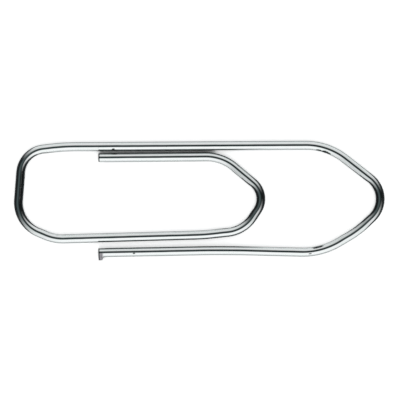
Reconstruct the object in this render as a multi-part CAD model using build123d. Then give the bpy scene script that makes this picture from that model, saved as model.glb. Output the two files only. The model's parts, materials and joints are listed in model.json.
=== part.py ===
from build123d import *
from math import cos, radians, sin, tan
import os

# A wire paper clip: one length of plated steel wire bent flat into a long outer loop and a shorter
# tongue inside it. The two meet at the end bar, and both free ends are sheared off above it.
#
# The clip lies flat. X runs along it from the end bar to the tips, Y across the legs and Z up, and
# the origin is on the surface that the clip lies on, under its middle. Lengths are in millimetres
# and angles in degrees.
#
# The wire has no pins or pivots: it gives by twisting where it turns back, at the end bar and at
# the two tips. It is divided square across at those three turns, into the four legs between them.

# Overall sizes
clip_length = 50.0
clip_width = 15.7
wire_diameter = 1.2
tongue_length = 33.9
free_end_setback = 11.4

# Gaps between neighbouring legs, measured at the free ends
upper_leg_gap = 0.31
lower_leg_gap = 0.79

# Where the runs change direction: along the clip from its end bar or from the tongue's tip, across
# it from the middle line, and along the wire of the foot between its two bends
top_leg_start = 6.6
heel_ease_setback = 8.3
outer_ease_drop = 4.3
foot_length = 1.05

# The free leg bows in towards the tongue, most at this share of the way from its end to its heel
bow_height = 0.32
bow_share = 0.57

# Bend radii, to the middle of the wire, in the order in which the wire is fed
tongue_shoulder_radius = 6.0
tongue_tip_radius = 2.8
tongue_heel_radius = 4.6
heel_ease_radius = 30.0
foot_radius = 6.0
end_bend_radius = 4.4
end_corner_radius = 3.4
top_leg_start_radius = 30.0
outer_shoulder_radius = 8.6
outer_tip_radius = 3.5
outer_ease_radius = 14.0
outer_heel_radius = 9.6
bow_radius = 160.0

# A heel tightens where its slope gets short, and then takes up this share of the slope
slope_share = 0.95

# Headings of the straight runs as the wire is fed, anticlockwise from X. Up to the bow the wire
# turns clockwise at every bend, so they count down, past a full turn.
tongue_free_heading = 0.5
tongue_upper_slope_heading = -40.0
tongue_lower_slope_heading = -124.0
heel_ease_heading = -173.8
tongue_leg_heading = -178.4
foot_heading = -203.1
end_bar_heading = -274.5
top_leg_start_heading = -353.2
top_leg_heading = -359.65
outer_upper_slope_heading = -397.9
outer_lower_slope_heading = -496.8
outer_ease_heading = -509.3

# Sheared ends: the broken edge of a clean cut, and the lip that a worn blade drags out sideways
cut_edge_break = 0.08
lip_reach = 0.45
lip_root_thickness = 0.5
lip_tip_thickness = 0.28
lip_width = 0.8
lip_edge_radius = 0.1

wire_radius = wire_diameter / 2
end_bar_outside = -clip_length / 2
leg_level = clip_width / 2 - wire_radius
free_end_x = end_bar_outside + free_end_setback


def towards(heading):
    """Unit vector in the clip's plane at a heading."""
    return Vector(cos(radians(heading)), sin(radians(heading)))


def run(point, heading):
    """Line of a straight run through a point."""
    return Axis(point, towards(heading))


def run_off_bend(centre, radius, heading):
    """Line of a straight run that touches a clockwise bend on its outside."""
    return run(centre + radius * towards(heading + 90), heading)


def bend_reach(radius, turn):
    """Length that a bend takes up on each of its two straight runs."""
    return radius * tan(radians(turn) / 2)


def heel_bend(radius, turn, slope_length):
    """Radius of the bend at the foot of a slope, held to what the slope has room for."""
    return min(radius, radius * slope_length * slope_share / bend_reach(radius, turn))


def across(x):
    """Line across the clip at a distance along it."""
    return Axis((x, 0), (0, 1))


def level(y):
    """Line along the clip at a distance from its middle line."""
    return Axis((0, y), (1, 0))


# Outer loop: its tip, the top leg and the bowed free leg
outer_tip = Vector(clip_length / 2 - wire_radius, 0)
outer_tip_centre = outer_tip - Vector(outer_tip_radius, 0)
outer_upper_slope = run_off_bend(outer_tip_centre, outer_tip_radius, outer_upper_slope_heading)
outer_lower_slope = run_off_bend(outer_tip_centre, outer_tip_radius, outer_lower_slope_heading)
outer_shoulder = outer_upper_slope.intersect(level(leg_level))
top_leg = run(outer_shoulder, top_leg_heading)
top_leg_bend = top_leg.intersect(across(end_bar_outside + top_leg_start))
outer_ease = outer_lower_slope.intersect(level(-outer_ease_drop))
outer_heel = run(outer_ease, outer_ease_heading).intersect(level(-leg_level))
outer_end = Vector(free_end_x, -leg_level)
bow = outer_end + (outer_heel - outer_end) * bow_share + Vector(0, bow_height)
outer_heel_turn = (outer_heel - outer_ease).get_angle(bow - outer_heel)
outer_ease_reach = bend_reach(outer_ease_radius, outer_lower_slope_heading - outer_ease_heading)
outer_heel_slope = (outer_heel - outer_ease).length - outer_ease_reach
outer_heel_bend = heel_bend(outer_heel_radius, outer_heel_turn, outer_heel_slope)

# Tongue: its legs lie inside the outer loop's legs by a wire and a gap
upper_pitch = Vector(0, wire_diameter + upper_leg_gap)
lower_pitch = Vector(0, wire_diameter + lower_leg_gap)
tongue_tip = Vector(end_bar_outside + tongue_length - wire_radius, 0)
tongue_tip_centre = tongue_tip - Vector(tongue_tip_radius, 0)
tongue_upper_slope = run_off_bend(tongue_tip_centre, tongue_tip_radius, tongue_upper_slope_heading)
tongue_lower_slope = run_off_bend(tongue_tip_centre, tongue_tip_radius, tongue_lower_slope_heading)
tongue_end = top_leg.intersect(across(free_end_x)) - upper_pitch
tongue_shoulder = run(tongue_end, tongue_free_heading).intersect(tongue_upper_slope)
tongue_leg = run(outer_end + lower_pitch, tongue_leg_heading)
heel_ease = tongue_leg.intersect(across(end_bar_outside + tongue_length - heel_ease_setback))
tongue_heel = tongue_lower_slope.intersect(run(heel_ease, heel_ease_heading))
tongue_heel_turn = tongue_lower_slope_heading - heel_ease_heading
tongue_heel_slope = (tongue_heel - tongue_lower_slope.position).length
tongue_heel_bend = heel_bend(tongue_heel_radius, tongue_heel_turn, tongue_heel_slope)

# Foot and end bar: the foot climbs from the tongue's leg to the end bend, whose outside is the clip's end
foot_bend_reach = bend_reach(foot_radius, tongue_leg_heading - foot_heading)
foot_run = (foot_bend_reach + foot_length) * towards(foot_heading)
foot_to_centre = end_bend_radius * towards(foot_heading - 90)
end_bend_centre_x = end_bar_outside + wire_radius + end_bend_radius
foot_bend = tongue_leg.intersect(across(end_bend_centre_x - foot_to_centre.X - foot_run.X))
end_bend_centre = foot_bend + foot_run + foot_to_centre
end_bar = run_off_bend(end_bend_centre, end_bend_radius, end_bar_heading)
end_bend = run(foot_bend, foot_heading).intersect(end_bar)
end_corner = end_bar.intersect(run(top_leg_bend, top_leg_start_heading))
end_bar_middle = (end_bend + end_corner) / 2

bends = [
    (tongue_shoulder, tongue_shoulder_radius),
    (tongue_upper_slope.intersect(tongue_lower_slope), tongue_tip_radius),
    (tongue_heel, tongue_heel_bend),
    (heel_ease, heel_ease_radius),
    (foot_bend, foot_radius),
    (end_bend, end_bend_radius),
    (end_corner, end_corner_radius),
    (top_leg_bend, top_leg_start_radius),
    (outer_shoulder, outer_shoulder_radius),
    (outer_upper_slope.intersect(outer_lower_slope), outer_tip_radius),
    (outer_ease, outer_ease_radius),
    (outer_heel, outer_heel_bend),
    (bow, bow_radius),
]
corners = [tongue_end] + [corner for corner, radius in bends] + [outer_end]
route = Wire(FilletPolyline(*corners, radius=[radius for corner, radius in bends]).edges())


def wire_along(path):
    """Round wire swept along a path."""
    section = Plane(origin=path @ 0, z_dir=path % 0) * Circle(wire_radius)
    return sweep(section, path=path)


def break_cut_edge(wire, end):
    """Take the sharp edge off the cut face at a free end."""
    cut_face = wire.faces().sort_by_distance(end).first
    return chamfer(cut_face.edges(), cut_edge_break)


def shear_lip(end, outward):
    """Lip of metal dragged sideways out of a cut face, which it lies flush with."""
    cut = Plane(origin=end, x_dir=outward, z_dir=(0, 0, 1))
    tip = wire_radius + lip_reach
    outline = Polyline((0, 0), (-lip_root_thickness, 0), (-lip_tip_thickness, tip), (0, tip), close=True)
    lip = cut * extrude(make_face(outline), amount=lip_width / 2, both=True)
    tip_face = lip.faces().sort_by(Axis(end, cut.y_dir)).last
    return fillet(tip_face.edges(), lip_edge_radius)


tongue_free_leg = break_cut_edge(wire_along(route.trim(tongue_end, tongue_tip)), tongue_end)
tongue_long_leg = wire_along(route.trim(tongue_tip, end_bar_middle))
outer_long_leg = wire_along(route.trim(end_bar_middle, outer_tip))
outer_free_leg = break_cut_edge(wire_along(route.trim(outer_tip, outer_end)), outer_end)
outer_free_leg += shear_lip(outer_end, route % 1)

legs = {
    "tongue_free_leg": tongue_free_leg,
    "tongue_long_leg": tongue_long_leg,
    "outer_long_leg": outer_long_leg,
    "outer_free_leg": outer_free_leg,
}

os.makedirs("parts", exist_ok=True)
for name, leg in legs.items():
    laid_flat = Pos(0, 0, wire_radius) * leg
    export_step(laid_flat, f"parts/{name}.step")
    size = laid_flat.bounding_box().size
    print(f"{name}: volume {leg.volume:.3f}, size {size.X:.2f} x {size.Y:.2f} x {size.Z:.2f}")

wire_area = Circle(wire_radius).area
print(f"wire length {route.length:.2f}, area times length {wire_area * route.length:.3f}")
print(f"volume of the legs {sum(leg.volume for leg in legs.values()):.3f}")
for name, turn in [("tongue_tip", tongue_tip), ("end_bar_middle", end_bar_middle), ("outer_tip", outer_tip)]:
    print(f"{name} at {turn.X:.4f}, {turn.Y:.4f}, {wire_radius:.4f}")
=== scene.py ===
# %% [markdown]
# # A paper clip of bent wire
#
# The clip is one length of bright plated steel wire, bent flat into a long outer loop and a shorter
# tongue inside it. A wire is a round section carried along a route, so most of this lesson is about
# that route, and the rest is about what a polished surface needs: something worth mirroring.
#
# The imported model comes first. It fixes every size and place, and it says how the clip moves: the
# wire is divided at its three turns into four legs, which twist against each other there.

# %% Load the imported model
import json
import math

import bpy
import numpy as np
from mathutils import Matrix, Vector


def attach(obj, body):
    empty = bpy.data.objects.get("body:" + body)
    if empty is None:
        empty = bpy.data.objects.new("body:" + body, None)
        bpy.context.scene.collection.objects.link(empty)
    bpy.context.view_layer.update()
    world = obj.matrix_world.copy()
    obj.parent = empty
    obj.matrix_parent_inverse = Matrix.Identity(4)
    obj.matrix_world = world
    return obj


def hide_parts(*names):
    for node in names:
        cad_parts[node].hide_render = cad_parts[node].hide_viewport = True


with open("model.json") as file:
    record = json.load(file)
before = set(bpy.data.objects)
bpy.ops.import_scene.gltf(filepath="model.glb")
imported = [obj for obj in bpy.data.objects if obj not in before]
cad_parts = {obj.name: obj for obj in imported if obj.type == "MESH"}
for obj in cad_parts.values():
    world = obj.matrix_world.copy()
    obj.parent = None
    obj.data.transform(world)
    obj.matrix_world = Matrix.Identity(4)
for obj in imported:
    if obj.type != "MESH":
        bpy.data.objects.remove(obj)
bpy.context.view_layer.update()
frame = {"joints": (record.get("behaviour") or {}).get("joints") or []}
millimetre = 0.001
turns = {joint["name"]: Vector(joint["pos_m"]) for joint in frame["joints"]}
for name, turn in turns.items():
    print(f"{name} at {turn.x / millimetre:.2f}, {turn.y / millimetre:.2f} mm")

# %% [markdown]
# ## The route of the wire
#
# On a bending machine the wire is fed straight and bent round a pin, again and again, so its middle
# line is straight runs joined by round bends. Such a line could be drawn point by point as a smooth
# spline, but a spline never runs quite straight and never bends quite round, and a mirror finish shows
# both. So the route is written as a machine setter would: the corners where the straight runs would
# meet, and the bend radius at each.
#
# The last number says how much painted dark reflection the finish puts there: at the turns it stands
# for the dark ends of the room that the wire would mirror. It is evened out along the wire, so a short
# stretch gets more than 1 to end up near 1. Apart from the two ends, a corner with no radius lies on a
# straight run: nothing bends there, and only that amount changes.

# %% Corners, bend radii and painted reflection of the wire
route_corners = [
    # along, across and bend radius in millimetres, amount of painted dark reflection
    ("tongue end", -13.6, 5.551, 0.0, 0.0),
    ("tongue shoulder", 3.067, 5.697, 6.0, 0.25),
    ("tongue slope", 6.9170, 2.4660, 0.0, 0.40),
    ("tongue tip", 9.231, 0.524, 2.8, 1.08),
    ("tongue heel", 5.992, -4.278, 4.6, 0.61),
    ("heel ease", 0.6, -4.863, 30.0, 0.0),
    ("foot", -19.552, -5.426, 6.0, 0.0),
    ("end bend", -24.635, -3.258, 4.4, 0.83),
    ("end bar start", -24.3773, 0.0139, 0.0, 1.3),
    ("end bar finish", -24.1043, 3.4800, 0.0, 1.3),
    ("end corner", -23.876, 6.379, 3.4, 0.79),
    ("top leg start", -18.4, 7.032, 30.0, 0.0),
    ("outer shoulder", 17.285, 7.25, 8.6, 0.25),
    ("outer slope", 22.6556, 3.0690, 0.0, 0.40),
    ("outer tip", 26.278, 0.249, 3.5, 1.00),
    ("outer ease", 21.434, -4.3, 14.0, 0.52),
    ("outer heel", 16.465, -7.25, 9.6, 0.0),
    ("bow", 3.537, -6.93, 160.0, 0.0),
    ("outer end", -13.6, -7.25, 0.0, 0.0),
]
wire_diameter = 1.2 * millimetre
wire_radius = wire_diameter / 2


def corner_line():
    """Mesh of the corners joined by edges, each with its bend radius and its amount of painted reflection.
    """
    _, along, across, radii, painted_reflection_amount = zip(*route_corners)
    places = [(x * millimetre, y * millimetre, wire_radius) for x, y in zip(along, across)]
    line = bpy.data.meshes.new("route_corners")
    line.from_pydata(places, [(i, i + 1) for i in range(len(places) - 1)], [])
    kept_radius = line.attributes.new("bend_radius", "FLOAT", "POINT")
    kept_radius.data.foreach_set("value", [radius * millimetre for radius in radii])
    kept_reflection_amount = line.attributes.new("painted_reflection_amount", "FLOAT", "POINT")
    kept_reflection_amount.data.foreach_set("value", painted_reflection_amount)
    return line


print(f"route with {len(route_corners)} corners and ends")

# %% [markdown]
# ## Small helpers for nodes
#
# Nodes can be wired by hand in the editor. Written in a script, a tree stays readable if each sum is one
# call, so these helpers add a node, plug in what it reads and hand back what it gives. They serve the
# geometry, the finish and the light alike.

# %% Helpers for single nodes


def plug(tree, socket, value):
    """Link a socket to another one, or set it to a plain value."""
    if isinstance(value, bpy.types.NodeSocket):
        tree.links.new(value, socket)
    else:
        socket.default_value = value


def add(tree, kind, reads=None, **settings):
    """Add a node, set its settings and plug in what it reads, by the socket's name or number."""
    made = tree.nodes.new(kind)
    for name, value in settings.items():
        setattr(made, name, value)
    for key, value in (reads or {}).items():
        plug(tree, made.inputs[key], value)
    return made


def number(tree, operation, *values):
    """Result of a sum on numbers."""
    return add(tree, "ShaderNodeMath", dict(enumerate(values)), operation=operation).outputs[0]


def arrow(tree, operation, *values):
    """Result of a sum on vectors: a vector, or a number for a dot product or a length."""
    made = add(tree, "ShaderNodeVectorMath", dict(enumerate(values)), operation=operation)
    return made.outputs["Value" if operation in ("DOT_PRODUCT", "LENGTH") else "Vector"]


def scaled(tree, vector, factor):
    """A vector times a number."""
    reads = {0: vector, "Scale": factor}
    return add(tree, "ShaderNodeVectorMath", reads, operation="SCALE").outputs["Vector"]


def fade(tree, value, start, end):
    """0 at the start and 1 at the end, with a soft step between them."""
    reads = {"Value": value, "From Min": start, "From Max": end}
    return add(tree, "ShaderNodeMapRange", reads, interpolation_type="SMOOTHSTEP").outputs["Result"]


print("node helpers ready")

# %% [markdown]
# ## Helpers for geometry trees
#
# A geometry tree needs a way in, a way out and a memory. Its inputs get names, so that each size can be
# set from outside. A value that is worked out at one step and used at a later one, or by the finish, is
# kept on the geometry under a name, as a note is pencilled on a workpiece.

# %% Helpers for geometry trees


def new_tree(name, inputs, gives):
    """Geometry tree with named inputs, given as (name, kind, first value)."""
    tree = bpy.data.node_groups.new(name, "GeometryNodeTree")
    tree.interface.new_socket("Geometry", in_out="INPUT", socket_type="NodeSocketGeometry")
    for label, kind, value in inputs:
        socket = tree.interface.new_socket(label, in_out="INPUT", socket_type=kind)
        if value is not None:
            socket.default_value = value
    tree.interface.new_socket(gives, in_out="OUTPUT", socket_type="NodeSocketGeometry")
    return tree, tree.nodes.new("NodeGroupInput").outputs, tree.nodes.new("NodeGroupOutput").inputs


def store(tree, geometry, name, value, kind="FLOAT", domain="POINT"):
    """Keep a value on the geometry under a name."""
    reads = {"Geometry": geometry, "Name": name, "Value": value}
    made = add(tree, "GeometryNodeStoreNamedAttribute", reads, data_type=kind, domain=domain)
    return made.outputs["Geometry"]


def kept(tree, name, kind="FLOAT"):
    """Read back a value that was kept under a name."""
    return add(tree, "GeometryNodeInputNamedAttribute", {"Name": name}, data_type=kind).outputs["Attribute"]


print("geometry helpers ready")

# %% [markdown]
# ## Bending the route
#
# The first tree turns the corners into the bent middle line. Fillet Curve rounds each corner by its own
# radius, as a forming pin would, and Resample Curve then spaces points evenly along it. Each point keeps
# how far along the wire it is and which way the wire runs there.

# %% Tree for the bent route
bend_steps = 48
point_spacing = 0.1 * millimetre
number_socket = "NodeSocketFloat"
count_socket = "NodeSocketInt"
vector_kind = "FLOAT_VECTOR"
route_inputs = [
    ("Bend Steps", count_socket, bend_steps),
    ("Point Spacing", number_socket, point_spacing),
]

bent_route, given, made = new_tree("bent_route", route_inputs, "Curve")
straight_runs = add(bent_route, "GeometryNodeMeshToCurve", {"Mesh": given["Geometry"]}).outputs["Curve"]
rounding = {"Curve": straight_runs, "Count": given["Bend Steps"], "Radius": kept(bent_route, "bend_radius")}
rounded = add(bent_route, "GeometryNodeFilletCurve", rounding, mode="POLY").outputs["Curve"]
spacing = {"Curve": rounded, "Length": given["Point Spacing"]}
points = add(bent_route, "GeometryNodeResampleCurve", spacing, mode="LENGTH").outputs["Curve"]
place_along = bent_route.nodes.new("GeometryNodeSplineParameter").outputs["Length"]
tangent = bent_route.nodes.new("GeometryNodeInputTangent").outputs["Tangent"]
points = store(bent_route, points, "along", place_along)
points = store(bent_route, points, "direction", tangent, vector_kind)
print(f"bent_route has {len(bent_route.nodes)} nodes so far")

# %% [markdown]
# ## How sharply the wire bends, and the painted reflection
#
# How sharply the wire bends at a point is the change of direction between its two neighbours, divided by
# the distance between them. On a real wire that doesn't stop dead where a bend ends, because the metal
# beside the pin gives too, and the painted dark reflection fades in and out softly as well. Blur Attribute
# averages each value with its neighbours again and again, which gives both a soft start and end.

# %% Keep the bend and the amount of painted reflection
bend_rounds, reflection_rounds = 40, 600
before, after = -1, 1
index = bent_route.nodes.new("GeometryNodeInputIndex").outputs["Index"]


def tangent_at(offset):
    """Direction of the wire at a neighbouring point."""
    reads = {"Index": number(bent_route, "ADD", index, offset), "Value": tangent}
    return add(bent_route, "GeometryNodeFieldAtIndex", reads, data_type=vector_kind).outputs["Value"]


def evened(value, rounds):
    """A value averaged with its neighbours along the wire, again and again."""
    reads = {"Value": value, "Iterations": rounds}
    return add(bent_route, "GeometryNodeBlurAttribute", reads, data_type="FLOAT").outputs["Value"]


turning = arrow(bent_route, "LENGTH", arrow(bent_route, "SUBTRACT", tangent_at(after), tangent_at(before)))
neighbours_apart = number(bent_route, "MULTIPLY", given["Point Spacing"], after - before)
bend = number(bent_route, "DIVIDE", turning, neighbours_apart)
points = store(bent_route, points, "bend", evened(bend, bend_rounds))
# The amount of painted dark reflection, evened out along the wire
points = store(bent_route, points, "painted_reflection_amount", evened(kept(bent_route, "painted_reflection_amount"), reflection_rounds))
plug(bent_route, made["Curve"], points)
print(f"bent_route has {len(bent_route.nodes)} nodes")

# %% [markdown]
# ## Where the legs part
#
# The legs meet at the three turns, so the lengths along the wire at which they part have to be known.
# They could be worked out from the arcs by hand. It is simpler to bend the route once, read its points
# back and measure between the two that are nearest to each turn.

# %% Bend the route once


def evaluated_mesh(name, tree, values):
    """Run a tree on the corner line and hand back what it makes as a plain mesh."""
    holder = bpy.data.objects.new(name, corner_line())
    bpy.context.scene.collection.objects.link(holder)
    modifier = holder.modifiers.new(name, "NODES")
    modifier.node_group = tree
    for item in tree.interface.items_tree:
        if item.in_out == "INPUT" and item.name in values:
            modifier[item.identifier] = values[item.name]
    graph = bpy.context.evaluated_depsgraph_get()
    mesh = bpy.data.meshes.new_from_object(holder.evaluated_get(graph), depsgraph=graph)
    line = holder.data
    bpy.data.objects.remove(holder)
    bpy.data.meshes.remove(line)
    return mesh


route_line, given, made = new_tree("route_line", [], "Mesh")
route_group = add(route_line, "GeometryNodeGroup", {"Geometry": given["Geometry"]}, node_tree=bent_route)
as_line = add(route_line, "GeometryNodeCurveToMesh", {"Curve": route_group.outputs["Curve"]})
plug(route_line, made["Mesh"], as_line.outputs["Mesh"])

route_mesh = evaluated_mesh("route_line", route_line, {})
route_points = np.array([vertex.co for vertex in route_mesh.vertices])
route_along = np.array([kept_length.value for kept_length in route_mesh.attributes["along"].data])
wire_length = float(route_along.max())
print(f"wire {wire_length / millimetre:.2f} mm long")

# %% Measure to each turn


def length_at(place):
    """How far along the wire a place on it is."""
    nearest = np.argsort(np.linalg.norm(route_points - np.array(place), axis=1))[:2]
    first, second = sorted(nearest)
    run = route_points[second] - route_points[first]
    share = float(np.dot(np.array(place) - route_points[first], run) / np.dot(run, run))
    return float(route_along[first] + share * (route_along[second] - route_along[first]))


parted = {name: length_at(turn) for name, turn in turns.items()}
for name, length in parted.items():
    print(f"{name} is {length / millimetre:.2f} mm along the wire")

# %% [markdown]
# ## One leg of the wire
#
# The second tree makes one leg: a stretch of the route with a round section. It could be a curve with a
# bevel, but a bevel gives a plain tube, and this wire has pressed flats, broken edges and a lip. So the
# tree cuts out the stretch and sets rings along it, closer together near a sheared end, where the
# surface changes fast. A leg that isn't sheared has its sheared end far off the wire, and a lip with no
# reach isn't there.

# %% Inputs of a leg
leg_inputs = [
    ("From", number_socket, 0.0),
    ("To", number_socket, wire_length),
    ("Wire Radius", number_socket, wire_radius),
    ("Ring Spacing", number_socket, 0.12 * millimetre),
    ("Sides", count_socket, 48),
    ("Sheared End", number_socket, -wire_length),
    ("Fine Reach", number_socket, 1.2 * millimetre),
    ("Fine Cuts", count_socket, 5),
    ("Edge Break", number_socket, 0.1 * millimetre),
    ("Lip Reach", number_socket, 0.0),
    ("Lip Thickness", number_socket, 0.75 * millimetre),
    ("Pin Flat", number_socket, 0.03 * millimetre),
    ("Material", "NodeSocketMaterial", None),
]
wire_leg, given, made = new_tree("wire_leg", leg_inputs, "Mesh")


def in_leg(operation, *values):
    """Result of a sum on numbers, in the leg's tree."""
    return number(wire_leg, operation, *values)


print(f"wire_leg has {len(leg_inputs)} inputs")

# %% Rings along a stretch of the route
# Trim Curve calls its shares and its lengths by the same names, so the lengths go by number
start_length, end_length = 4, 5

route_group = add(wire_leg, "GeometryNodeGroup", {"Geometry": given["Geometry"]}, node_tree=bent_route)
cut_out = {"Curve": route_group.outputs["Curve"], start_length: given["From"], end_length: given["To"]}
stretch = add(wire_leg, "GeometryNodeTrimCurve", cut_out, mode="LENGTH").outputs["Curve"]
spacing = {"Curve": stretch, "Length": given["Ring Spacing"]}
rings = add(wire_leg, "GeometryNodeResampleCurve", spacing, mode="LENGTH").outputs["Curve"]
to_end = in_leg("ABSOLUTE", in_leg("SUBTRACT", kept(wire_leg, "along"), given["Sheared End"]))
near_end = in_leg("LESS_THAN", to_end, given["Fine Reach"])
fine_cuts = in_leg("MULTIPLY", near_end, given["Fine Cuts"])
rings = add(wire_leg, "GeometryNodeSubdivideCurve", {"Curve": rings, "Cuts": fine_cuts}).outputs["Curve"]
print(f"wire_leg has {len(wire_leg.nodes)} nodes so far")

# %% [markdown]
# ## The round section
#
# A section swept along a curve forgets which ring it came from, so each ring first keeps its middle and
# two directions to its left: one square to the line of rings, to tell where a point of the section lies,
# and one square to the route, to put the point where the true wire has it. The shear leaves a sharp edge,
# and handling breaks it. A bevel could do that afterwards, but it is easier to let the section shrink
# along a quarter round over the last rings.

# %% Middles and sides of the rings
up = (0.0, 0.0, 1.0)


def left_of(direction):
    """Level direction to the left of a direction along the wire."""
    return arrow(wire_leg, "NORMALIZE", arrow(wire_leg, "CROSS_PRODUCT", up, direction))


ring_tangent = wire_leg.nodes.new("GeometryNodeInputTangent").outputs["Tangent"]
position = wire_leg.nodes.new("GeometryNodeInputPosition").outputs["Position"]
rings = store(wire_leg, rings, "middle", position, vector_kind)
rings = store(wire_leg, rings, "ring_side", left_of(ring_tangent), vector_kind)
rings = store(wire_leg, rings, "side", left_of(kept(wire_leg, "direction", vector_kind)), vector_kind)
rings = store(wire_leg, rings, "to_end", to_end)
rings = add(wire_leg, "GeometryNodeSetCurveNormal", {"Curve": rings}, mode="Z_UP").outputs["Curve"]
print(f"wire_leg has {len(wire_leg.nodes)} nodes so far")

# %% Sweep the section, with a broken edge at the cut
past_edge = in_leg("MINIMUM", in_leg("DIVIDE", to_end, given["Edge Break"]), 1.0)
short_of_edge = in_leg("SUBTRACT", 1.0, past_edge)
quarter_round = in_leg("SQRT", in_leg("SUBTRACT", 1.0, in_leg("POWER", short_of_edge, 2.0)))
broken_off = in_leg("MULTIPLY", in_leg("SUBTRACT", 1.0, quarter_round), given["Edge Break"])
shrink = in_leg("DIVIDE", broken_off, given["Wire Radius"])
shrunk = {"Curve": rings, "Radius": in_leg("SUBTRACT", 1.0, shrink)}
rings = add(wire_leg, "GeometryNodeSetCurveRadius", shrunk).outputs["Curve"]
section_size = {"Resolution": given["Sides"], "Radius": given["Wire Radius"]}
section = add(wire_leg, "GeometryNodeCurvePrimitiveCircle", section_size, mode="RADIUS").outputs["Curve"]
swept = {"Curve": rings, "Profile Curve": section, "Fill Caps": True}
skin = add(wire_leg, "GeometryNodeCurveToMesh", swept).outputs["Mesh"]
print(f"wire_leg has {len(wire_leg.nodes)} nodes so far")

# %% [markdown]
# ## Pin flats and the lip
#
# A forming pin presses a narrow flat on the inside of each tight bend, and a worn blade drags a lip of
# metal out sideways where it shears the wire. Both could be sculpted by hand on the finished mesh. Here
# each point is moved by a rule instead, so that both stay right when a size changes. The point's place is
# first kept as if the wire lay straight, which is what the finish reads later.

# %% Place on the straightened wire
from_middle = arrow(wire_leg, "SUBTRACT", position, kept(wire_leg, "middle", vector_kind))
sideways = arrow(wire_leg, "DOT_PRODUCT", from_middle, kept(wire_leg, "ring_side", vector_kind))
height = arrow(wire_leg, "DOT_PRODUCT", from_middle, up)
flank = in_leg("DIVIDE", sideways, given["Wire Radius"])
straightened = {"X": kept(wire_leg, "along"), "Y": sideways, "Z": height}
as_straight = add(wire_leg, "ShaderNodeCombineXYZ", straightened).outputs["Vector"]
skin = store(wire_leg, skin, "wire_place", as_straight, vector_kind)
skin = store(wire_leg, skin, "flank", flank)
print(f"wire_leg has {len(wire_leg.nodes)} nodes so far")

# %% Press the flats and drag out the lip
slight_bend, tight_bend = 0.06 / millimetre, 0.16 / millimetre
lip_root_share = 0.6
lip_side_start, lip_side_full = 0.45, 1.0

pressed = fade(wire_leg, kept(wire_leg, "bend"), slight_bend, tight_bend)
inside_limit = in_leg("SUBTRACT", in_leg("MULTIPLY", pressed, given["Pin Flat"]), given["Wire Radius"])
flattened = in_leg("MAXIMUM", sideways, inside_limit)
lip_root = in_leg("MULTIPLY", given["Lip Thickness"], lip_root_share)
lip_along = fade(wire_leg, kept(wire_leg, "to_end"), given["Lip Thickness"], lip_root)
lip_round = fade(wire_leg, flank, lip_side_start, lip_side_full)
dragged = in_leg("MULTIPLY", in_leg("MULTIPLY", lip_along, lip_round), given["Lip Reach"])
level_part = scaled(wire_leg, kept(wire_leg, "side", vector_kind), in_leg("ADD", flattened, dragged))
on_section = arrow(wire_leg, "ADD", level_part, scaled(wire_leg, up, height))
formed = arrow(wire_leg, "ADD", kept(wire_leg, "middle", vector_kind), on_section)
skin = add(wire_leg, "GeometryNodeSetPosition", {"Geometry": skin, "Position": formed}).outputs["Geometry"]
print(f"wire_leg has {len(wire_leg.nodes)} nodes so far")

# %% [markdown]
# ## Where the metal was cut
#
# The finish has to know where bare steel shows: on the cut face, and on the side that the blade smeared
# into the lip. Along the rim of a cut it paints a dark line, a painted reflection of the dark room in the
# broken edge. These places could be drawn on, but the tree already knows the distance to the cut, and the
# faces at a leg's two ends are the only ones with more than four sides. Those faces stay flat shaded, and
# the rest of the wire is smooth.

# %% Keep the cuts and close the tree
smear_start, smear_end = -0.1, 0.2
edge_reflection_reach = 2.0
sides_of_quad = 4.0

smear_round = fade(wire_leg, flank, smear_start, smear_end)
has_lip = in_leg("GREATER_THAN", given["Lip Reach"], 0.0)
smeared = in_leg("MULTIPLY", in_leg("MULTIPLY", lip_along, smear_round), has_lip)
skin = store(wire_leg, skin, "sheared", smeared)
# The rim of each cut gets a painted dark reflection, kept here as a share
edge_reflection_start = in_leg("MULTIPLY", given["Edge Break"], edge_reflection_reach)
painted_edge_reflection = fade(wire_leg, kept(wire_leg, "to_end"), edge_reflection_start, given["Edge Break"])
skin = store(wire_leg, skin, "cut_edge", painted_edge_reflection)
around_face = wire_leg.nodes.new("GeometryNodeInputMeshFaceNeighbors").outputs["Vertex Count"]
is_cut = in_leg("GREATER_THAN", around_face, sides_of_quad)
skin = store(wire_leg, skin, "cut_face", is_cut, "FLOAT", "FACE")
smoothed = {"Geometry": skin, "Shade Smooth": in_leg("SUBTRACT", 1.0, is_cut)}
skin = add(wire_leg, "GeometryNodeSetShadeSmooth", smoothed).outputs["Geometry"]
skin = add(wire_leg, "GeometryNodeRealizeInstances", {"Geometry": skin}).outputs["Geometry"]
coated = {"Geometry": skin, "Material": given["Material"]}
skin = add(wire_leg, "GeometryNodeSetMaterial", coated).outputs["Geometry"]
plug(wire_leg, made["Mesh"], skin)
print(f"wire_leg has {len(wire_leg.nodes)} nodes")

# %% [markdown]
# ## Wear marks
#
# Jaws and forming pins nick the plating, and dirt stays in the nicks: small dark dashes, mostly on the
# inside of a bend or beside a free end. They could be scattered at random, but a real clip has a few at
# places of its own, so each is listed by where it is seen from above and how long and wide it is. A mark
# is then kept as a place on the straightened wire, which is what the finish reads.

# %% Wear marks and their places on the wire
wear_marks = [
    # along, across, half length and half width in millimetres
    (-13.42, -8.15, 0.22, 0.10),
    (-11.55, 6.62, 0.24, 0.24),
    (-11.30, 6.13, 0.26, 0.28),
    (-8.8, -7.35, 0.16, 0.09),
    (14.9, -7.40, 0.20, 0.07),
    (16.0, -6.50, 0.80, 0.18),
    (16.1, 6.58, 0.45, 0.13),
    (17.1, 6.26, 0.75, 0.24),
    (18.5, -6.90, 0.20, 0.14),
]
rim_share = 0.97


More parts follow.
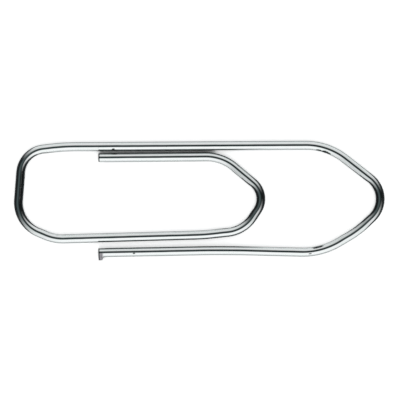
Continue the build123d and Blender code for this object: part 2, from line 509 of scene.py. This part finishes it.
def place_on_wire(x, y):
    """Length along the wire, offset to its left and height, for a point seen from above."""
    seen = np.array([x * millimetre, y * millimetre])
    nearest = int(np.argmin(np.linalg.norm(route_points[:, :2] - seen, axis=1)))
    ahead = route_points[nearest + 1, :2] - route_points[nearest - 1, :2]
    left = np.array([-ahead[1], ahead[0]]) / np.linalg.norm(ahead)
    rim = rim_share * wire_radius
    offset = max(-rim, min(rim, float(np.dot(seen - route_points[nearest, :2], left))))
    return float(route_along[nearest]), offset, math.sqrt(wire_radius**2 - offset**2)


wear_places = []
for x, y, half_length, half_width in wear_marks:
    along, offset, rise = place_on_wire(x, y)
    wear_places.append((along, offset, rise, half_length * millimetre, half_width * millimetre))
    print(f"mark {along / millimetre:.1f} mm along, {offset / millimetre:+.2f} mm to the left")

# %% [markdown]
# ## The plated finish
#
# Bright plating is a metal all over, so Metallic stays at 1, and the story is told by colour, roughness
# and relief. A picture could be wrapped round the wire, but it would have a seam and a fixed grain. Nodes
# that read the place on the straightened wire have neither, and their patterns follow each bend.

# %% Start the material
all_metal = 1.0
grazing_tint = (0.55, 0.58, 0.58, 1.0)
# Mix has sockets for many kinds of value, so its colours go by number
first_colour, second_colour, mixed_colour = 6, 7, 2

finish = bpy.data.materials.new("plated_wire")
finish.use_nodes = True
metal = finish.node_tree
metal.nodes.clear()
shader = metal.nodes.new("ShaderNodeBsdfPrincipled")
surface = metal.nodes.new("ShaderNodeOutputMaterial")
metal.links.new(shader.outputs["BSDF"], surface.inputs["Surface"])
shader.inputs["Metallic"].default_value = all_metal
shader.inputs["Specular Tint"].default_value = grazing_tint


def in_metal(operation, *values):
    """Result of a sum on numbers, in the finish."""
    return number(metal, operation, *values)


def more(base, share, amount):
    """A number raised by an amount, in part."""
    return in_metal("MULTIPLY_ADD", share, amount, base)


def blended(share, first, second):
    """Colour between two colours."""
    reads = {"Factor": share, first_colour: first, second_colour: second}
    return add(metal, "ShaderNodeMix", reads, data_type="RGBA").outputs[mixed_colour]


def kept_on_mesh(name, output="Fac"):
    """Read a value that the leg's tree kept on the mesh."""
    return add(metal, "ShaderNodeAttribute", attribute_name=name).outputs[output]


print(f"{finish.name} started")

# %% [markdown]
# ## Grains
#
# Everything uneven about the finish comes from noise, and its grains have a size and a shape: hair lines
# that the drawing die left run for millimetres along the wire and are finer than a hair across, while pits
# are nearly round. One noise texture could serve them all, but then every pattern would rise and fall
# together. So each has its own, stretched by a Mapping node.

# %% Noise for each pattern
wire_place = kept_on_mesh("wire_place", "Vector")
grain_sizes = {
    # length along the wire, width across it and height in millimetres, detail
    "cloud": (1.4, 0.7, 0.7, 2.0),
    "uneven": (1.0, 0.2, 0.2, 2.0),
    "lines": (6.5, 0.045, 0.045, 3.0),
    "waves": (2.0, 1.1, 1.1, 1.0),
    "pits": (0.25, 0.15, 0.15, 2.0),
    "mottle": (0.22, 0.17, 0.17, 3.0),
    "ragged": (0.15, 0.15, 0.15, 2.0),
    "tears": (0.12, 0.3, 0.3, 4.0),
    "streaks": (1.0, 0.03, 0.6, 2.0),
}


def noise(length, width, height, detail):
    """Noise from 0 to 1 with grains of about a size."""
    scale = [1 / (size * millimetre) for size in (length, width, height)]
    stretched = add(metal, "ShaderNodeMapping", {"Vector": wire_place, "Scale": scale}).outputs["Vector"]
    reads = {"Vector": stretched, "Scale": 1.0, "Detail": detail}
    return add(metal, "ShaderNodeTexNoise", reads).outputs["Fac"]


grain = {name: noise(*sizes) for name, sizes in grain_sizes.items()}
print(f"{len(grain)} patterns of noise")

# %% [markdown]
# ## Bright metal, painted shade and a painted reflection
#
# The crown of the wire slides over paper and stays bright. The flanks are painted grey all along: painted
# shade where they would mirror the shaded sheet beside the wire, a little darker on one side. At the three
# turns a dark, mottled painted reflection stands for the dark ends of the room that the wire mirrors there.
# It lies on the upper flanks, begins as a thin line at the wire's edge and widens towards the crown at the
# turn. Dark stretches could be drawn onto a picture, but driving both by the kept flank and the amount of
# painted reflection makes them follow any bend.

# %% How far round the flank, how high up and how much painted reflection
shade_lean, reflection_lean = 0.05, 0.05
middle_of_noise = 0.5
patchiness = 0.20
middle_level, upper_level = 0.0, 0.35

side = kept_on_mesh("flank")
off_crown = in_metal("ABSOLUTE", side)
# The flank is leaned a little one way for the painted shade and the other way for the painted reflection
shade_flank = more(off_crown, side, shade_lean)
reflection_flank = more(off_crown, side, -reflection_lean)
uneven = in_metal("SUBTRACT", grain["uneven"], middle_of_noise)
painted_reflection_amount = more(kept_on_mesh("painted_reflection_amount"), uneven, patchiness)
above_middle = add(metal, "ShaderNodeSeparateXYZ", {"Vector": wire_place}).outputs["Z"]
level = in_metal("DIVIDE", above_middle, wire_radius)
upper = fade(metal, level, middle_level, upper_level)
print(f"{finish.name} has {len(metal.nodes)} nodes so far")

# %% Colours of the plating, its painted shade and its painted reflection
bright_greenish = (0.72, 0.78, 0.76, 1.0)
bright_mauve = (0.79, 0.79, 0.81, 1.0)
# The grey of the flanks is painted shade, and the near-black of the turns is a painted dark reflection
painted_flank_shade = (0.34, 0.37, 0.37, 1.0)
painted_reflection_dark = (0.007, 0.009, 0.010, 1.0)
painted_reflection_light = (0.034, 0.038, 0.040, 1.0)
shade_start, shade_full = 0.64, 0.98
line_start, line_full = 0.82, 0.98
wide_start, wide_full = 0.22, 0.58
line_reflection_amount, wide_reflection_amount = 0.42, 1.08
clear_reflection_amount, dark_reflection_amount = 0.14, 0.46

# Where the painted shade lies on the flanks, a little more on one side than the other
flank_shade_share = fade(metal, shade_flank, shade_start, shade_full)
widening = fade(metal, painted_reflection_amount, line_reflection_amount, wide_reflection_amount)
reflection_start = more(line_start, widening, wide_start - line_start)
reflection_full = more(line_full, widening, wide_full - line_full)
# The painted dark reflection lies only on the upper flanks, and widens towards the crown at the turns
reflection_darkening = in_metal("MULTIPLY", fade(metal, painted_reflection_amount, clear_reflection_amount, dark_reflection_amount), upper)
dark_reflection_share = in_metal("MULTIPLY", fade(metal, reflection_flank, reflection_start, reflection_full), reflection_darkening)
bright = blended(grain["cloud"], bright_greenish, bright_mauve)
painted_dark_reflection = blended(grain["mottle"], painted_reflection_dark, painted_reflection_light)
painted_shade_and_reflection = blended(dark_reflection_share, blended(flank_shade_share, bright, painted_flank_shade), painted_dark_reflection)
print(f"{finish.name} has {len(metal.nodes)} nodes so far")

# %% [markdown]
# ## Pits, cut faces, dirt and a painted edge line
#
# Plating has small grey pits. A sheared face has two halves: a burnished one, where the blade slid
# through and left fine streaks, and a torn one, where the rest of the wire broke off. Oil and dirt stay in
# the wear marks, and along each cut edge the same dark colour is a painted dark reflection of the room in
# the broken edge. One texture could hold all of it, but as layers over the painted shade and reflection,
# with the dark marks last, each can be changed alone.

# %% Layer the colours
pit_grey = (0.16, 0.17, 0.17, 1.0)
bare_dark = (0.13, 0.13, 0.14, 1.0)
bare_light = (0.48, 0.46, 0.49, 1.0)
burnished_dark = (0.40, 0.40, 0.41, 1.0)
burnished_light = (0.66, 0.66, 0.67, 1.0)
pit_rim, pit_middle = 0.70, 0.80
torn_level, burnished_level = -0.1, 0.1

cut_face = kept_on_mesh("cut_face")
sheared = in_metal("MAXIMUM", kept_on_mesh("sheared"), cut_face)
pitted = blended(fade(metal, grain["pits"], pit_rim, pit_middle), painted_shade_and_reflection, pit_grey)
torn = blended(grain["tears"], bare_dark, bare_light)
burnished = blended(grain["streaks"], burnished_dark, burnished_light)
slid_through = fade(metal, in_metal("ADD", level, uneven), torn_level, burnished_level)
burnish = in_metal("MULTIPLY", cut_face, slid_through)
worn = blended(sheared, pitted, blended(burnish, torn, burnished))
print(f"{finish.name} has {len(metal.nodes)} nodes so far")

# %% A painted dark reflection along the cut edges, and dirt in the wear marks
oil_and_edge_reflection = (0.03, 0.035, 0.035, 1.0)
mark_clear, mark_dark = 1.7, 1.3

# Along the cut edges this dark colour is a painted dark reflection; in the wear marks it is dirt
dirt_and_edge_reflection = in_metal("SUBTRACT", kept_on_mesh("cut_edge"), cut_face)
for along, offset, rise, half_length, half_width in wear_places:
    apart = arrow(metal, "SUBTRACT", wire_place, (along, offset, rise))
    shape = (1 / half_length, 1 / half_width, 1 / half_width)
    distance = arrow(metal, "LENGTH", arrow(metal, "MULTIPLY", apart, shape))
    mark = fade(metal, in_metal("ADD", distance, grain["ragged"]), mark_clear, mark_dark)
    dirt_and_edge_reflection = in_metal("MAXIMUM", dirt_and_edge_reflection, mark)
plug(metal, shader.inputs["Base Color"], blended(dirt_and_edge_reflection, worn, oil_and_edge_reflection))
print(f"{finish.name} has {len(metal.nodes)} nodes so far")

# %% [markdown]
# ## Polish and relief
#
# Drawn and plated wire is polished but not perfect. Hair lines dull it a little, and so do the places of
# the painted shade and painted reflection, and torn metal is dull. Slow waves in the surface bend what it
# mirrors, and the painted dark reflection gets a mottled bump.
# These could be modelled, but they are a few hundredths of a millimetre deep at most, so bump is enough.

# %% Roughness
polish_rough, line_rough = 0.04, 0.06
shade_and_reflection_rough, torn_rough = 0.08, 0.30
burnish_ease = 0.6

polish = more(polish_rough, grain["lines"], line_rough)
shade_and_reflection_share = in_metal("MAXIMUM", flank_shade_share, dark_reflection_share)
torn_share = more(sheared, burnish, -burnish_ease)
plug(metal, shader.inputs["Roughness"], more(more(polish, shade_and_reflection_share, shade_and_reflection_rough), torn_share, torn_rough))
print(f"{finish.name} has {len(metal.nodes)} nodes so far")

# %% Relief
wave_depth = 0.02 * millimetre
mottle_depth = 0.03 * millimetre
line_depth = 0.0006 * millimetre
full_strength = 1.0

# The mottle of the painted dark reflection is given a bump
reflection_mottle = in_metal("MULTIPLY", grain["mottle"], dark_reflection_share)
relief = None
for pattern, depth in [(grain["waves"], wave_depth), (reflection_mottle, mottle_depth), (grain["lines"], line_depth)]:
    reads = {"Height": pattern, "Strength": full_strength, "Distance": depth}
    if relief:
        reads["Normal"] = relief
    relief = add(metal, "ShaderNodeBump", reads).outputs["Normal"]
plug(metal, shader.inputs["Normal"], relief)
print(f"{finish.name} has {len(metal.nodes)} nodes")

# %% [markdown]
# ## The four legs
#
# Each leg is the same tree with its own two lengths along the wire. Two of them end in a cut, and one of
# those cuts has the lip. The legs could share their end faces, but faces that lie in one place rub and
# flicker, so a gap far too narrow to see is left between them. A leg stands for the node of its name, and
# rides on the body of that name.

# %% Make the legs
tongue_tip = parted["tongue_tip_twist"]
end_bar = parted["end_bar_twist"]
outer_tip = parted["outer_tip_twist"]
lip_reach = 0.44 * millimetre
hairline = 0.001 * millimetre
legs = {
    "tongue_free_leg": {"From": 0.0, "To": tongue_tip - hairline, "Sheared End": 0.0},
    "tongue_long_leg": {"From": tongue_tip + hairline, "To": end_bar - hairline},
    "outer_long_leg": {"From": end_bar + hairline, "To": outer_tip - hairline},
    "outer_free_leg": {
        "From": outer_tip + hairline,
        "To": wire_length,
        "Sheared End": wire_length,
        "Lip Reach": lip_reach,
    },
}
for leg, lengths in legs.items():
    mesh = evaluated_mesh(leg, wire_leg, {**lengths, "Material": finish})
    wire = bpy.data.objects.new(f"{leg}_wire", mesh)
    mesh.name = wire.name
    bpy.context.scene.collection.objects.link(wire)
    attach(wire, leg)
    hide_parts(leg)
    print(f"{wire.name}: {len(mesh.polygons)} faces")

# %% [markdown]
# ## The studio
#
# A polished wire has almost no colour of its own: it shows the room. Photographed from straight above
# between two long soft boxes, each leg mirrors the box on either side as a pale band, and the gap overhead
# that the camera looks through as a thin dark line down its middle. Towards the ends of the room the boxes
# fade out. Lamps could stand in for them, but a world that brightens towards both sides gives the same
# soft light with no edge to come into view.

# %% Soft boxes on both sides
near_box = {"brightness": 1.24, "edge": 0.20, "full": 0.46, "dim_end": 0.10, "bright_end": 1.10}
far_box = {"brightness": 0.92, "edge": 0.34, "full": 0.76, "dim_end": 0.35, "bright_end": 0.95}
near_middle = (0.139, -0.990, 0.0)
far_middle = (0.139, 0.990, 0.0)
without_height = (1.0, 1.0, 0.0)

world = bpy.data.worlds.new("soft_boxes")
world.use_nodes = True
bpy.context.scene.world = world
sky = world.node_tree
sky.nodes.clear()
direction = sky.nodes.new("ShaderNodeTexCoord").outputs["Generated"]
level_direction = arrow(sky, "MULTIPLY", direction, without_height)
from_overhead = arrow(sky, "LENGTH", level_direction)
heading = arrow(sky, "NORMALIZE", level_direction)


def soft_box(middle, brightness, edge, full, dim_end, bright_end):
    """Light of one box, from its edge beside the gap overhead, fading out to both ends of its length."""
    away = fade(sky, from_overhead, edge, full)
    lengthwise = fade(sky, arrow(sky, "DOT_PRODUCT", heading, middle), dim_end, bright_end)
    return number(sky, "MULTIPLY", number(sky, "MULTIPLY", away, lengthwise), brightness)


near_light = soft_box(near_middle, **near_box)
far_light = soft_box(far_middle, **far_box)
print(f"soft boxes of {near_box['brightness']} and {far_box['brightness']}")

# %% [markdown]
# ## The rest of the room
#
# With the boxes alone, the gap overhead would mirror as pure black, and so would the walls when the clip
# is seen from the side. A real room sends a little light back from everywhere. So there is a weak patch
# overhead, towards the end bar, a faint light all round, and pale walls that are lighter lower down. A
# single even grey would be simpler, but it would take the life out of the metal.

# %% Overhead patch, walls and faint light all round
patch_middle = (-0.40, 0.0, 0.9165)
patch_rim, patch_full = 0.84, 0.99
wall_top, wall_foot = 0.52, -0.06
patch_light, wall_light, room_light = 0.085, 0.62, 0.015
white = (1.0, 1.0, 1.0, 1.0)
room_tint = (0.74, 0.98, 1.0, 1.0)

near_patch = arrow(sky, "DOT_PRODUCT", direction, patch_middle)
overhead = number(sky, "MULTIPLY", fade(sky, near_patch, patch_rim, patch_full), patch_light)
upward = add(sky, "ShaderNodeSeparateXYZ", {"Vector": direction}).outputs["Z"]
walls = number(sky, "MULTIPLY", fade(sky, upward, wall_top, wall_foot), wall_light)
pale_light = number(sky, "MAXIMUM", number(sky, "ADD", near_light, far_light), walls)
pale = add(sky, "ShaderNodeBackground", {"Color": white, "Strength": pale_light})
tinted_light = number(sky, "ADD", overhead, room_light)
tinted = add(sky, "ShaderNodeBackground", {"Color": room_tint, "Strength": tinted_light})
all_light = add(sky, "ShaderNodeAddShader", {0: pale.outputs[0], 1: tinted.outputs[0]})
sky_output = sky.nodes.new("ShaderNodeOutputWorld")
sky.links.new(all_light.outputs[0], sky_output.inputs["Surface"])
print(f"room light of {room_light} and walls of {wall_light}")

# %% [markdown]
# ## The floor
#
# A white sheet lies under the clip. The soft boxes alone would leave it pale grey. More light would whiten
# it, but would also burn out the metal, so the sheet glows a little instead, only for rays from the camera
# and for mirrored rays.

# %% White sheet
floor_half = 2.0
sheet_white = (0.9, 0.9, 0.9, 1.0)
corner_signs = [(-1, -1), (1, -1), (1, 1), (-1, 1)]

floor_mesh = bpy.data.meshes.new("floor")
floor_corners = [(x * floor_half, y * floor_half, 0.0) for x, y in corner_signs]
floor_mesh.from_pydata(floor_corners, [], [range(len(floor_corners))])
floor = bpy.data.objects.new("floor", floor_mesh)
bpy.context.scene.collection.objects.link(floor)
sheet = bpy.data.materials.new("white_sheet")
sheet.use_nodes = True
floor_mesh.materials.append(sheet)
paper = sheet.node_tree
paper.nodes.clear()
matt = add(paper, "ShaderNodeBsdfDiffuse", {"Color": sheet_white})
print(f"sheet {2 * floor_half:.0f} m wide")

# %% [markdown]
# ## The glow of the sheet
#
# An even glow would drown the clip's shadow, so the glow is weaker where the clip shuts the sheet in. The
# Ambient Occlusion node tells how open a place is. For the camera, narrow gaps go dark and each wire has
# a soft rim of shade. For mirrored rays, the sheet also darkens near the contact with the wire, which
# keeps the lower flanks from shining as brightly as open paper.

# %% Glow for the camera and for mirrored rays
camera_glow, mirrored_glow = 0.78, 0.70
gap_reach = 0.6 * millimetre
gap_shut, gap_clear = 0.38, 0.60
rim_shade = 0.5
contact_reach = 3.0 * millimetre
contact_shut, contact_clear = 0.55, 0.97
ray = paper.nodes.new("ShaderNodeLightPath").outputs


def openness(reach):
    """Share of the directions above the sheet that the clip leaves open, judged within a reach."""
    return add(paper, "ShaderNodeAmbientOcclusion", {"Distance": reach}).outputs["AO"]


beside_wire = openness(gap_reach)
in_gap = fade(paper, beside_wire, gap_shut, gap_clear)
at_rim = number(paper, "MULTIPLY_ADD", beside_wire, rim_shade, 1.0 - rim_shade)
lit_from_above = number(paper, "MULTIPLY", in_gap, at_rim)
seen_from_above = number(paper, "MULTIPLY", ray["Is Camera Ray"], lit_from_above)
mirrored = number(paper, "MAXIMUM", ray["Is Glossy Ray"], ray["Is Transmission Ray"])
at_contact = fade(paper, openness(contact_reach), contact_shut, contact_clear)
seen_in_metal = number(paper, "MULTIPLY", mirrored, at_contact)
glow_in_metal = number(paper, "MULTIPLY", seen_in_metal, mirrored_glow)
strength = number(paper, "MULTIPLY_ADD", seen_from_above, camera_glow, glow_in_metal)
glow = add(paper, "ShaderNodeEmission", {"Strength": strength})
lit_sheet = add(paper, "ShaderNodeAddShader", {0: matt.outputs[0], 1: glow.outputs[0]})
paper_output = paper.nodes.new("ShaderNodeOutputMaterial")
paper.links.new(lit_sheet.outputs[0], paper_output.inputs["Surface"])
print(f"{sheet.name} has {len(paper.nodes)} nodes")

# %% [markdown]
# ## The camera
#
# The photograph looks straight down, so the camera needs no turning: a new one already looks down. It
# could be flat-on with no perspective at all, but a real camera has some. A long lens far away keeps it
# small, as in the photograph.

# %% Camera straight above
view_width = 53.96 * millimetre
view_middle = Vector((0.094 * millimetre, -0.148 * millimetre, wire_radius))
camera_height = 0.5
sensor_width = 36.0
nearest_seen = 0.01

camera_data = bpy.data.cameras.new("camera")
camera_data.sensor_width = sensor_width
camera_data.lens = sensor_width * camera_height / view_width
camera_data.clip_start = nearest_seen
camera = bpy.data.objects.new("camera", camera_data)
camera.location = view_middle + Vector((0.0, 0.0, camera_height))
bpy.context.scene.collection.objects.link(camera)
bpy.context.scene.camera = camera
bpy.context.scene.view_settings.view_transform = "Standard"
print(f"lens of {camera_data.lens:.0f} mm")
